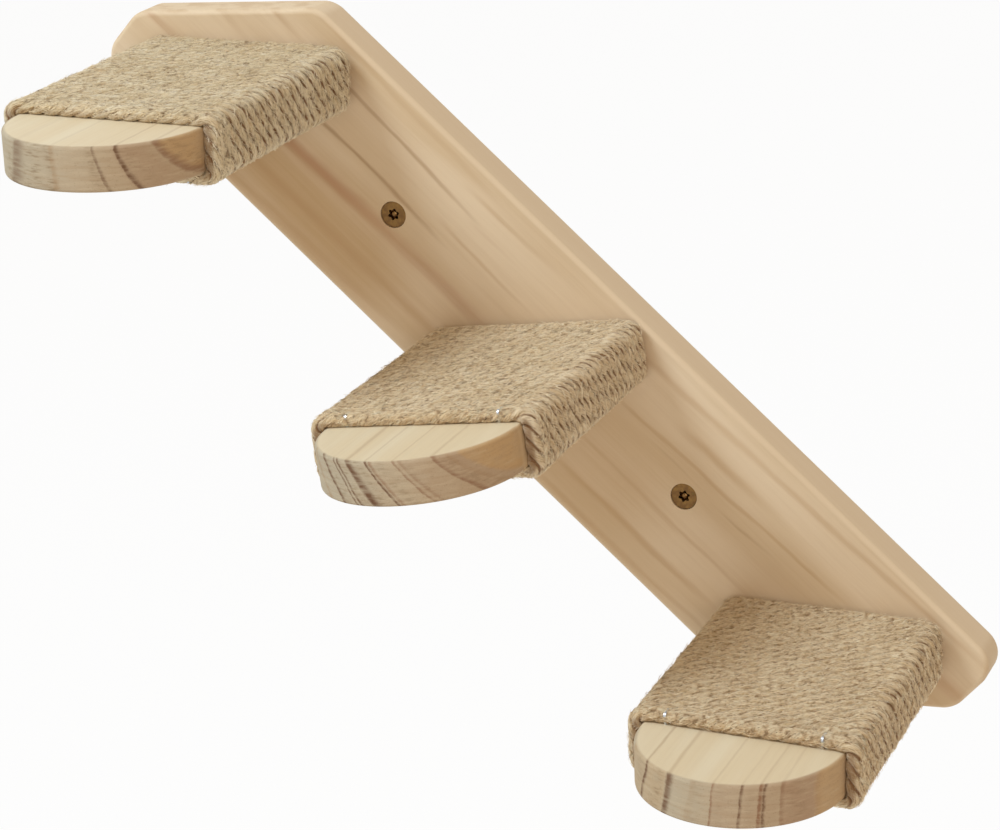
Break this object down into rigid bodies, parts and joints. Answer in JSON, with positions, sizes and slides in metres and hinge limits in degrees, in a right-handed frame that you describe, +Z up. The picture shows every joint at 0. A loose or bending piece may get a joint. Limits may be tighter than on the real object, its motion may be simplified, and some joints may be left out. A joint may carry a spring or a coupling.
{
  "type": "cat ladder",
  "caption": "Wall-mounted cat ladder: a slanted pine board carrying round-nosed pine steps wound with jute rope, with its wall screws in place",
  "frame": {"origin": "in the wall plane, at the back of the board, midway between the wall screws", "axes": "+Z up, +X to the right along the wall as the steps go down, +Y into the wall; the steps reach towards -Y"},
  "size_m": [0.3952, 0.2356, 0.314],
  "materials": {
    "board_pine": "satin",
    "step_pine": "satin",
    "jute_rope": "matte",
    "screw_yellow_zinc": "satin",
    "staple_wire": "satin"
  },
  "bodies": {
    "root": {"backboard": "board_pine", "step_upper": "step_pine", "step_middle": "step_pine", "step_lower": "step_pine", "rope_upper": "jute_rope", "rope_middle": "jute_rope", "rope_lower": "jute_rope", "wall_screw_upper": "screw_yellow_zinc", "wall_screw_lower": "screw_yellow_zinc", "step_screw_upper_left": "screw_yellow_zinc", "step_screw_upper_right": "screw_yellow_zinc", "step_screw_middle_left": "screw_yellow_zinc", "step_screw_middle_right": "screw_yellow_zinc", "step_screw_lower_left": "screw_yellow_zinc", "step_screw_lower_right": "screw_yellow_zinc", "staple_upper_left": "staple_wire", "staple_upper_right": "staple_wire", "staple_middle_left": "staple_wire", "staple_middle_right": "staple_wire", "staple_lower_left": "staple_wire", "staple_lower_right": "staple_wire", "tail_staple_upper_back": "staple_wire", "tail_staple_upper_front": "staple_wire", "tail_staple_middle_back": "staple_wire", "tail_staple_middle_front": "staple_wire", "tail_staple_lower_back": "staple_wire", "tail_staple_lower_front": "staple_wire"}
  },
  "joints": []
}
